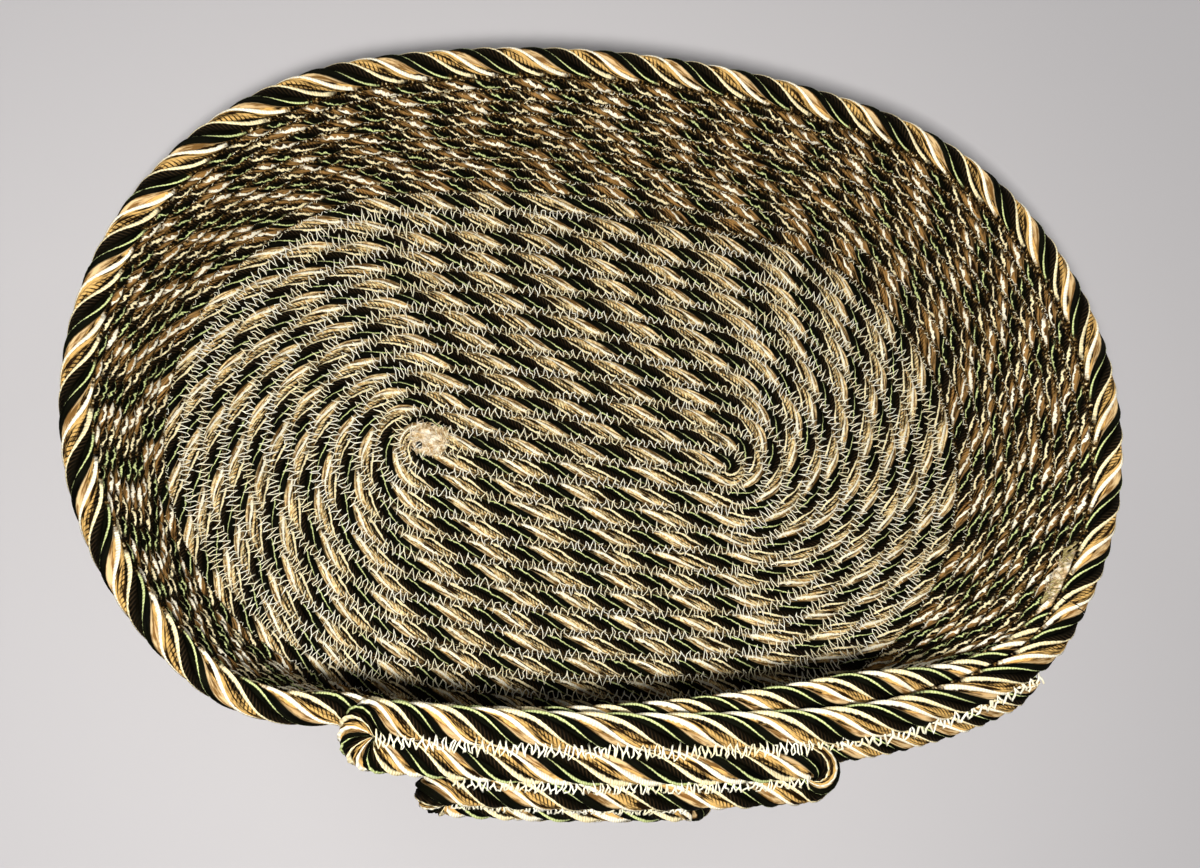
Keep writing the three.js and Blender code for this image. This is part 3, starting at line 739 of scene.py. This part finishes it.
# %% The way of the lip
ROW_STEPS, TURN_STEPS, EASE_STEPS, STRAIGHT_STEPS = 60, 24, 60, 8
LEAVE_STRAIGHT, LEAVE_EASE, JOIN_EASE, END_GAP = 7.5, 17, 20, 0.3
places = []
for number, (begin, end) in enumerate(zip(LIP_BEGINS, LIP_ENDS)):
    places += [(x, number) for x in np.linspace(begin, end, ROW_STEPS, endpoint=False)]
    if number + 1 < len(LIP_ENDS):
        way = np.sign(end - begin)
        for bow in np.linspace(0, pi, TURN_STEPS, endpoint=False):
            places.append((end + way * 0.5 * LIP_PITCH * np.sin(bow), number + 0.5 - 0.5 * np.cos(bow)))
places.append((LIP_ENDS[-1], len(LIP_ENDS) - 1))
lip_points, lip_out = lip(*np.array(places).T)

# A straight bit carries the rim on, and an eased curve then leads from it to the lip's first row.
leave_way, leave_out = leave_frame[0][-1], leave_frame[2][-1]
leave = leave + END_GAP * leave_way
bend_at = leave + LEAVE_STRAIGHT * leave_way
join_way = unit(lip_points[1] - lip_points[0])
t = np.linspace(0, 1, EASE_STEPS, endpoint=False)[:, None]
arms = [bend_at, bend_at + LEAVE_EASE * leave_way, lip_points[0] - JOIN_EASE * join_way, lip_points[0]]
weights = [(1 - t) ** 3, 3 * t * (1 - t) ** 2, 3 * t**2 * (1 - t), t**3]
ease = sum(weight * arm for weight, arm in zip(weights, arms))
straight = np.linspace(leave, bend_at, STRAIGHT_STEPS, endpoint=False)
lip_line = np.vstack([straight, ease, lip_points])
rolled = leave_out * (1 - t) + lip_out[0] * t
lip_facing = np.vstack([np.tile(leave_out, (STRAIGHT_STEPS, 1)), rolled, lip_out])
looser = np.concatenate([np.zeros(STRAIGHT_STEPS), t[:, 0], np.ones(len(lip_points))])
print("the lip takes", round(lengths(lip_line)[-1]), "mm of cord")

# %% Lip cord
# The pairs are x and the length of a repeat there, both in mm. In a turn the twist bunches up.
ON_LIP = 4.8, 5.0, 0.12, 0, -2, 1, 0.25, 0
LIP_REPEATS = [(-58, 13), (-45, 15), (-27, 19.5), (3, 24), (50, 19.5), (69, 18), (85, 16), (110, 18)]
places = respaced(lip_line, LOOSE_STEP)
points, out = rows_at(places, lip_line), rows_at(places, lip_facing)
loose = np.interp(places, np.arange(len(looser)), looser)
run = lengths(points)
way = unit(np.gradient(points, axis=0))
bend = np.linalg.norm(np.gradient(way, axis=0), axis=1) / np.gradient(run)
spacing = np.interp(points[:, 0], *np.array(LIP_REPEATS).T) / (1 + ON_LIP[0] * bend)
repeats = leave_twist + running(np.diff(run) / (0.5 * (spacing[1:] + spacing[:-1])))
side = np.cross(out, np.gradient(points, axis=0))
size = [a + (b - a) * loose for a, b in zip(ON_RIM, ON_LIP)]
cord_piece("lip_cord", points, side, size, repeats, ["lip_rope"], Relief=RIM_RELIEF, Left=1.0)

# %% [markdown]
# ## Sewing thread
# The seams are sewn with a pale cream polyester thread, about 0.3 mm thick on the floor. It is smoother
# than the cord and catches the light, so each zigzag shows as a bright line. The splice behind the rim
# is bound with a duller, olive silk.

# %% Thread material
# A spun thread: its tone changes slowly, over about 9 mm, and its twist is a fine bump.
thread_finish, tree, shader = new_material("cream_polyester_thread")
place = add(tree, "ShaderNodeTexCoord", out="Object")
tone = add(tree, NOISE, {"Vector": place, "Scale": 1 / (9 * MM), "Detail": 2.0})
cream = add(tree, RAMP, {"Fac": tone}, stops=[(0.3, "#fbf2c8"), (0.62, "#fffef0")])
strand = add(tree, NOISE, {"Vector": place, "Scale": 1 / (0.35 * MM), "Detail": 1.0})
bump = add(tree, "ShaderNodeBump", {"Height": strand, "Strength": 0.4, "Distance": 0.05 * MM})
fill(tree, shader, {"Base Color": cream, "Normal": bump, "Roughness": 0.4, "IOR": 1.55,
                    "Specular IOR Level": 0.3})
print(thread_finish.name, len(tree.nodes), "nodes")

# %% Binding silk
# Reeled silk, matted by glue: light and dark strands about 1.5 mm long.
silk_finish, tree, shader = new_material("olive_binding_silk")
place = add(tree, "ShaderNodeTexCoord", out="Object")
tone = add(tree, NOISE, {"Vector": place, "Scale": 1 / (1.5 * MM), "Detail": 2.0})
olive = add(tree, RAMP, {"Fac": tone}, stops=[(0.36, "#6e6030"), (0.66, "#cbbd84")])
fill(tree, shader, {"Base Color": olive, "Roughness": 0.5})
print(silk_finish.name, len(tree.nodes), "nodes")

# %% [markdown]
# ## Zigzag stitches
# The machine's needle goes down through one row, swings across the seam and goes down through the
# next, so the thread lies in a zigzag on both faces of the bowl. The guide has three vertices to a
# swing. The tree throws them from side to side by their number, sinks every third one into the cord
# where the needle went through, and shakes them a little with a fixed seed.

# %% Zigzag tree
SWING_STEPS = 3
stitch_tree, given = new_tree(
    "zigzag stitches", Reach=1.75 * MM, Sink=0.9 * MM, Thread=0.155 * MM, Shake=0.5 * MM, Seed=7)
tree, seed = stitch_tree, given["Seed"]
curve = add(tree, "GeometryNodeMeshToCurve", {"Mesh": given["Guide"]})
stored = {"number": "FLOAT", "sideways": "FLOAT_VECTOR", "facing": "FLOAT_VECTOR"}
number, sideways, facing = [
    add(tree, READ, {"Name": label}, data_type=data) for label, data in stored.items()]
swing = add(tree, MATH, (number, pi / SWING_STEPS), operation="MULTIPLY")
swing_wave = add(tree, MATH, [swing], operation="COSINE")
steep = add(tree, MATH, [swing_wave], operation="ARCCOSINE")
throw = add(tree, RANGE, (steep, 0.0, pi, 1.0, -1.0))
even = add(tree, MATH, (throw, given["Reach"]), operation="MULTIPLY")
uneven = add(tree, RANDOM, {"Min": 0.65, "Max": 1.15, "Seed": seed}, data_type="FLOAT")
reach = add(tree, MATH, (even, uneven), operation="MULTIPLY")
in_swing = add(tree, MATH, (number, SWING_STEPS), operation="FLOORED_MODULO")
at_needle = add(tree, MATH, (in_swing, 0.5), operation="LESS_THAN")
sink = add(tree, MATH, (at_needle, given["Sink"]), operation="MULTIPLY")
down = add(tree, MATH, (sink, -1.0), operation="MULTIPLY")
to_side = add(tree, VECTOR, {0: sideways, "Scale": reach}, operation="SCALE")
to_cord = add(tree, VECTOR, {0: facing, "Scale": down}, operation="SCALE")
least, most = [
    add(tree, VECTOR, {0: (way, way, way), "Scale": given["Shake"]}, operation="SCALE") for way in (-1, 1)]
shake = add(tree, RANDOM, {"Min": least, "Max": most, "Seed": seed}, data_type="FLOAT_VECTOR")
thrown = add(tree, VECTOR, (to_side, to_cord), operation="ADD")
moved = add(tree, VECTOR, (thrown, shake), operation="ADD")
zigzag = add(tree, "GeometryNodeSetPosition", {"Geometry": curve, "Offset": moved})
thick = add(tree, RANDOM, {"Min": 0.8, "Max": 1.25, "Seed": seed}, data_type="FLOAT")
lumpy = add(tree, "GeometryNodeSetCurveRadius", {"Curve": zigzag, "Radius": thick})
section = add(tree, RING, {"Resolution": 4, "Radius": given["Thread"]})
sewn = add(tree, SWEEP, {"Curve": lumpy, "Profile Curve": section, "Fill Caps": True})
end_tree(tree, given, sewn)

# %% [markdown]
# ## Seams of the coil
# A seam runs midway between a row and the row inside it. On the floor the stitches are 2.5 mm apart
# along the straight sides, and closer and wider where the machine turned the work round an end. On the
# wall they are smaller and lie deeper in the crevice.

# %% Seam stitches
STITCH, TIGHT_STITCH, WIDE_SWING = 2.5, 2.15, 1.35
THREAD_LEVEL, BOBBIN_LEVEL, WALL_LEVEL = 3.3, 2.4, 1.95
BEND_RANGE, RIM_SEAM_SHORTER = (0.004, 0.012), 0.6


def seam(first, last):
    """Points midway between each row and the row inside it, and the way across the seam."""
    marks = np.linspace(first, last, int((last - first) * FINE) + 2)
    loop, step = np.floor(marks / LOOP), np.mod(marks, LOOP)
    outer = rail(loop, step)
    inner = rail(np.maximum(loop - 1, 0), step)
    begin = loop < 1
    core_x = np.where(step <= HALF, outer[:, 0], np.maximum(outer[:, 0], -CORE_LENGTH / 2))
    core_line = np.stack([core_x, 0 * core_x, 0 * core_x + CORD_FACE], -1)
    inner = np.where(begin[:, None], core_line, inner)
    return 0.5 * (outer + inner), outer - inner


def stitched(name, points, side, face, level, nodes, stitch=STITCH, tight=TIGHT_STITCH, lean=0.0, wide=1.0,
             finish=thread_finish, **sizes):
    """Zigzag thread along a seam, on its inner face (1) or its outer face (-1), leaning along the seam.

    Where the seam bends, the stitches are `tight` mm long instead of `stitch`, and `wide` times as wide.
    """
    travel, sideways, facing = framed(points, side)
    sideways, facing = sideways + lean * travel, facing * face
    bend = bends(points)
    step = np.interp(bend, BEND_RANGE, [stitch, tight]) / (2 * SWING_STEPS)
    sideways = sideways * np.interp(bend, BEND_RANGE, [1.0, wide])[:, None]
    count = running(gaps(points) / (0.5 * (step[1:] + step[:-1])))
    at = np.interp(np.arange(int(count[-1]) + 1), count, np.arange(len(points)))
    line, sideways, facing = [rows_at(at, rows) for rows in (points, sideways, facing)]
    lift = FLOOR_LIFT * np.abs(facing[:, 2:]) * np.array([0, 0, 1])
    guide = guide_line(name + "_guide", line + lift + level * facing, sideways=sideways, facing=facing,
                       number=np.arange(len(at)))
    keep(shape_from(guide, stitch_tree, name, finish, **sizes), "thread", *nodes)


for name, face, level in [("needle_stitches", 1, THREAD_LEVEL), ("bobbin_stitches", -1, BOBBIN_LEVEL)]:
    cad = name.split("_")[0] + "_thread_"
    points, side = seam(HALF - SIDE, FLOOR_END)
    stitched(name + "_floor", points, side, face, level, [cad + "floor"], wide=WIDE_SWING,
             Sink=-0.35 * MM, Seed=3)
    points, side = seam(FLOOR_END, rim_to - RIM_SEAM_SHORTER)
    stitched(name + "_wall", points, side, face, WALL_LEVEL, [cad + "wall"], stitch=2.6, tight=2.4,
             Reach=1.3 * MM, Sink=0.4 * MM, Thread=0.1 * MM, Seed=5)

# %% Lip stitches
LIP_LEVEL, SEAM_POINTS = 3.9, 200
for number in range(len(LIP_ENDS) - 1):
    begin, turn_at, free = LIP_BEGINS[number], LIP_ENDS[number], LIP_ENDS[number + 1]
    other = min(begin, free) if turn_at < free else max(begin, free)
    points, out = lip(np.linspace(turn_at, other, SEAM_POINTS), number + 0.5)
    side = np.cross(out, np.gradient(points, axis=0))
    label = str(number + 1)
    stitched("lip_stitches_" + label, points, side, 1, LIP_LEVEL, ["lip_thread_" + label],
             stitch=1.9, tight=1.9, Reach=2.2 * MM, Thread=0.26 * MM, Seed=11 + number)

# %% [markdown]
# ## A short cord under the one that leaves the rim
# One more length of cord is tucked under the leaving cord and sewn to its outer side. It ends in the
# lip's first turn, and its other end is thin, where it was cut. It could be swept along a line of its
# own, but it follows the leaving cord, so it is that line moved outwards and down.

# %% Tucked cord
UNDER_OUT, UNDER_DOWN, UNDER_REPEAT, UNDER_STEP, UNDER_SEAM = 6.3, 4.5, 13.5, 1.2, 3.2
UNDER_SIZE, UNDER_CUT, UNDER_THIN, UNDER_FROM, UNDER_TO = 3.6, 9.0, 0.35, 20, 72
up = np.array([0, 0, 1])
leaving = lip_line[UNDER_FROM:UNDER_TO]
travel = unit(np.gradient(leaving, axis=0))
to_under = UNDER_OUT * unit(np.cross(up, travel)) - UNDER_DOWN * up
facing = unit(np.cross(to_under, travel))
facing = facing * np.sign(facing[:, 2:])
across_seam = np.cross(facing, travel)
places = respaced(leaving + to_under, UNDER_STEP)
points, side = rows_at(places, leaving + to_under), rows_at(places, across_seam)
run = lengths(points)
half_size = UNDER_SIZE * np.interp(run, [0, UNDER_CUT], [UNDER_THIN, 1.0])
under_row = half_size, half_size, 0, 0, -2, 1, 0.5, 0
cord_piece("under_cord", points, side, under_row, run / UNDER_REPEAT, [], Relief=RIM_RELIEF, Left=1.0)
stitched("under_stitches", leaving + 0.5 * to_under, across_seam, 1, UNDER_SEAM, [], stitch=2.6, tight=2.6,
         Reach=2.3 * MM, Sink=0.4 * MM, Thread=0.34 * MM, Seed=21)

# %% [markdown]
# ## Frayed and glued ends
# Where the cord was cut it comes apart into single filaments. The maker has pressed these down and
# fixed them with glue and a few stitches, so each end is a pale, uneven lump of yarn with loose hairs.
# The lump is a ball that Perlin noise makes uneven. Geometry Nodes scatter short bent hairs over it:
# they are many and all alike, so one hair is instanced at random turns and sizes.

# %% Glued yarn
# Rayon ends set with glue: pale where the filaments fan out, tan where they mat together. A small
# round spot in the middle of the start is nearly black: painted shade in a small hole.
HOLE_AT, HOLE_SIZE, HOLE_DEPTH, HOLE_EDGE = (-49.6, -1.9, 7.4), 1.0, 0.7, 1.4
FILAMENTS = [(0.36, "#9a7a4c"), (0.47, "#d8c094"), (0.55, "#ebdfc8"), (0.66, "#fff9ea")]
end_finish, tree, shader = new_material("glued_rayon_filaments")
place = add(tree, "ShaderNodeTexCoord", out="Object")
tone = add(tree, NOISE, {"Vector": place, "Scale": 1 / (2.2 * MM), "Detail": 3.0, "Roughness": 0.7})
matted = add(tree, RAMP, {"Fac": tone}, stops=FILAMENTS)
# Painted shade: nearly black in the small hole in the middle of the start.
away = add(tree, VECTOR, (place, tuple(c * MM for c in HOLE_AT)), operation="DISTANCE")
hole = add(tree, RANGE, (away, HOLE_SIZE * MM, HOLE_EDGE * HOLE_SIZE * MM))
colour = add(tree, MIX, {"Factor": hole, "A": srgb("#150f08"), "B": matted}, data_type="RGBA")
grain = add(tree, NOISE, {"Vector": place, "Scale": 1 / (0.5 * MM), "Detail": 2.0})
bump = add(tree, "ShaderNodeBump", {"Height": grain, "Strength": 0.7, "Distance": 0.25 * MM})
fill(tree, shader, {"Base Color": colour, "Normal": bump, "Roughness": 0.55, "IOR": 1.5})
print(end_finish.name, len(tree.nodes), "nodes")

# %% Loose hairs tree
hair_tree, given = new_tree(
    "loose hairs", Density=2.0e6, Length=3 * MM, Lift=0.9 * MM, Hair=0.13 * MM, Seed=1)
tree, seed, guide = hair_tree, given["Seed"], given["Guide"]
spots = add(tree, "GeometryNodeDistributePointsOnFaces",
            {"Mesh": guide, "Density": given["Density"], "Seed": seed}).node.outputs
middle_x = add(tree, MATH, (given["Length"], 0.5), operation="MULTIPLY")
middle = add(tree, JOIN, {"X": middle_x, "Z": given["Lift"]})
tip = add(tree, JOIN, {"X": given["Length"]})
bent = add(tree, "GeometryNodeCurveQuadraticBezier",
           {"Resolution": 5, "Start": (0, 0, 0), "Middle": middle, "End": tip})
section = add(tree, RING, {"Resolution": 3, "Radius": given["Hair"]})
hair = add(tree, SWEEP, {"Curve": bent, "Profile Curve": section, "Fill Caps": True})
upright = add(tree, "FunctionNodeAlignRotationToVector", {"Vector": spots["Normal"]}, axis="Z")
turns = {"Min": (0, -0.25, 0), "Max": (0, 0.25, 2 * pi), "Seed": seed}
any_way = add(tree, RANDOM, turns, data_type="FLOAT_VECTOR")
spin = add(tree, "FunctionNodeEulerToRotation", [any_way])
laid = add(tree, "FunctionNodeRotateRotation", {"Rotation": upright, "Rotate By": spin},
           rotation_space="LOCAL")
size = add(tree, RANDOM, {"Min": 0.45, "Max": 1.25, "Seed": seed}, data_type="FLOAT")
hairs = add(tree, "GeometryNodeInstanceOnPoints",
            {"Points": spots["Points"], "Instance": hair, "Rotation": laid, "Scale": size})
loose = add(tree, "GeometryNodeRealizeInstances", {"Geometry": hairs})
joined = add(tree, "GeometryNodeJoinGeometry", [guide])
tree.links.new(loose, joined.node.inputs[0])
end_tree(tree, given, joined)

# %% Start, splice and tail
BUMPS = [(0.2, 2.3), (0.08, 7)]


def lump(name, centre, axes, radii, dent=None):
    """A closed, uneven ball of yarn. Its centre and half sizes are in mm, its axes are rows."""
    ball = bmesh.new()
    bmesh.ops.create_icosphere(ball, subdivisions=4, radius=1)
    for vertex in ball.verts:
        swell = sum((high * noise.noise(vertex.co * often) for high, often in BUMPS), 1)
        place = np.array(centre) + (np.array(vertex.co) * swell * radii) @ axes
        if dent:
            place = place - HOLE_DEPTH * np.exp(-np.sum((place - dent) ** 2) / HOLE_SIZE**2) * axes[2]
        vertex.co = place * MM
    mesh = bpy.data.meshes.new(name)
    ball.to_mesh(mesh)
    ball.free()
    return placed(name + "_guide", mesh)


guide = lump("start_fray", centre=(-47.0, 0.2, 5.0), axes=np.eye(3), radii=(6.6, 5.2, 2.9), dent=HOLE_AT)
keep(shape_from(guide, hair_tree, "start_fray", end_finish, Seed=2), "seal", "start_seal")

SPLICE_LAP, SPLICE_POINTS, SPLICE_LEVEL, SPLICE_OVER = 0.02, 60, 3.7, 2.5
points, side = coil(np.linspace(wall_mark - SPLICE_LAP, rim_from + SPLICE_LAP, SPLICE_POINTS))
middle = SPLICE_POINTS // 2
axes = np.stack([way[middle] for way in framed(points, side)])
half = 0.5 * lengths(points)[-1]
guide = lump("splice_fray", centre=points[middle], axes=axes, radii=(half + SPLICE_OVER, 3.5, 3.9))
keep(shape_from(guide, hair_tree, "splice_fray", end_finish, Density=1.0e6, Seed=5), "seal", "splice_binding")
stitched("splice_stitches", points, side, 1, SPLICE_LEVEL, ["splice_binding"], stitch=1.2, tight=1.2,
         lean=-0.7, finish=silk_finish, Reach=2.9 * MM, Thread=0.24 * MM, Seed=8)

tail = np.mean(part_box("tail_seal"), axis=0) / MM
guide = lump("tail_fray", centre=tail, axes=np.eye(3), radii=(4.2, 4.3, 4.3))
keep(shape_from(guide, hair_tree, "tail_fray", end_finish, Density=1.4e6, Seed=9), "seal", "tail_seal")

# %% [markdown]
# ## Floor, light and camera
# A pale floor, one small key lamp high at the front left, and two low, broad lamps behind. The camera
# stands where the photograph was taken from: high above the bowl, a little to the left and in front.

# %% Floor and room
def seen(tree):
    """1 for the rays that show the background: straight to the camera, mirrored or through glass."""
    path = add(tree, "ShaderNodeLightPath").node.outputs
    direct = add(tree, MATH, (path["Is Camera Ray"], path["Is Glossy Ray"]), operation="MAXIMUM")
    return add(tree, MATH, (direct, path["Is Transmission Ray"]), operation="MAXIMUM")


# Matt studio paper. Far from the bowl, where the lamps don't reach, it is seen as pale as close by.
FAR_FROM, FAR_TO = 0.2, 0.6
bpy.ops.mesh.primitive_plane_add(size=6)
floor = bpy.context.object
floor.name = "pale_floor"
floor_finish, tree, shader = new_material("matt_pale_paper")
fill(tree, shader, {"Base Color": srgb("#bcbcc1"), "Roughness": 0.9})
place = add(tree, "ShaderNodeTexCoord", out="Object")
away = add(tree, VECTOR, [place], operation="LENGTH")
far = add(tree, RANGE, (away, FAR_FROM, FAR_TO), interpolation_type="SMOOTHSTEP")
far_seen = add(tree, MATH, (far, seen(tree)), operation="MULTIPLY")
glow = add(tree, "ShaderNodeEmission", {"Color": srgb("#cccacb")})
blend = add(tree, "ShaderNodeMixShader", (far_seen, shader.outputs[0], glow))
fill(tree, tree.nodes["Material Output"], {"Surface": blend})
floor.data.materials.append(floor_finish)
floor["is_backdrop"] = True

world = bpy.data.worlds.new("soft_room")
bpy.context.scene.world = world
world.use_nodes = True
tree = world.node_tree
room = tree.nodes["Background"]
fill(tree, room, {"Color": srgb("#eceef2"), "Strength": 0.12})
backdrop = add(tree, "ShaderNodeBackground", {"Color": srgb("#dcdcdf"), "Strength": 1.0})
blend = add(tree, "ShaderNodeMixShader", (seen(tree), room.outputs[0], backdrop))
fill(tree, tree.nodes["World Output"], {"Surface": blend})
print("floor:", floor.name, "room:", world.name)

# %% Lamps and camera
LAMP_WHITE = "#fffaf3"


def lamp(name, place, aim, size, power):
    data = bpy.data.lights.new(name, "AREA")
    data.size, data.energy, data.color = size, power, srgb(LAMP_WHITE)[:3]
    back = unit(np.array(place) - np.array(aim))
    right = unit(np.cross([0, 0, 1], back))
    axes = np.stack([right, np.cross(back, right), back], 1)
    placed(name, data).matrix_world = Matrix.Translation(place) @ Matrix(axes.tolist()).to_4x4()


lamp("key", place=(-0.076, -0.128, 0.53), aim=(0, 0, 0.03), size=0.035, power=3.7)
# The low lamps behind light the outside. The wall keeps their light off the inside.
for name, place in [("left_fill", (-1.0, 0.9, 0.26)), ("right_fill", (1.0, 0.8, 0.26))]:
    lamp(name, place, aim=(0, 0, 0.05), size=0.5, power=6.0)

CAMERA_AT = (-0.0616, -0.0785, 0.4613)
CAMERA_AXES = [(0.9873, -0.0653, -0.1451), (0.0386, 0.983, -0.1795), (0.1543, 0.1716, 0.973)]
camera_data = bpy.data.cameras.new("camera")
camera_data.sensor_width, camera_data.lens = 36, 44.98
camera_data.clip_start = 0.01
camera = placed("camera", camera_data)
camera.matrix_world = Matrix.Translation(CAMERA_AT) @ Matrix(CAMERA_AXES).to_4x4()
bpy.context.scene.camera = camera
bpy.context.scene.view_settings.view_transform = "Standard"
print("lens", round(camera_data.lens, 2), "mm")

# %% [markdown]
# ## Sizes
# The dressed bowl stays inside the box of the solids, apart from what soft cord may stand proud. Both
# boxes are kept in metres, and the visual box is printed in millimetres.

# %% Both boxes
boxes = {"cad": [list(p) for p in cad_box], "visual": [list(p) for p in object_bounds()]}
print("visual box:", [round(c / MM, 1) for p in boxes["visual"] for c in p], "mm")
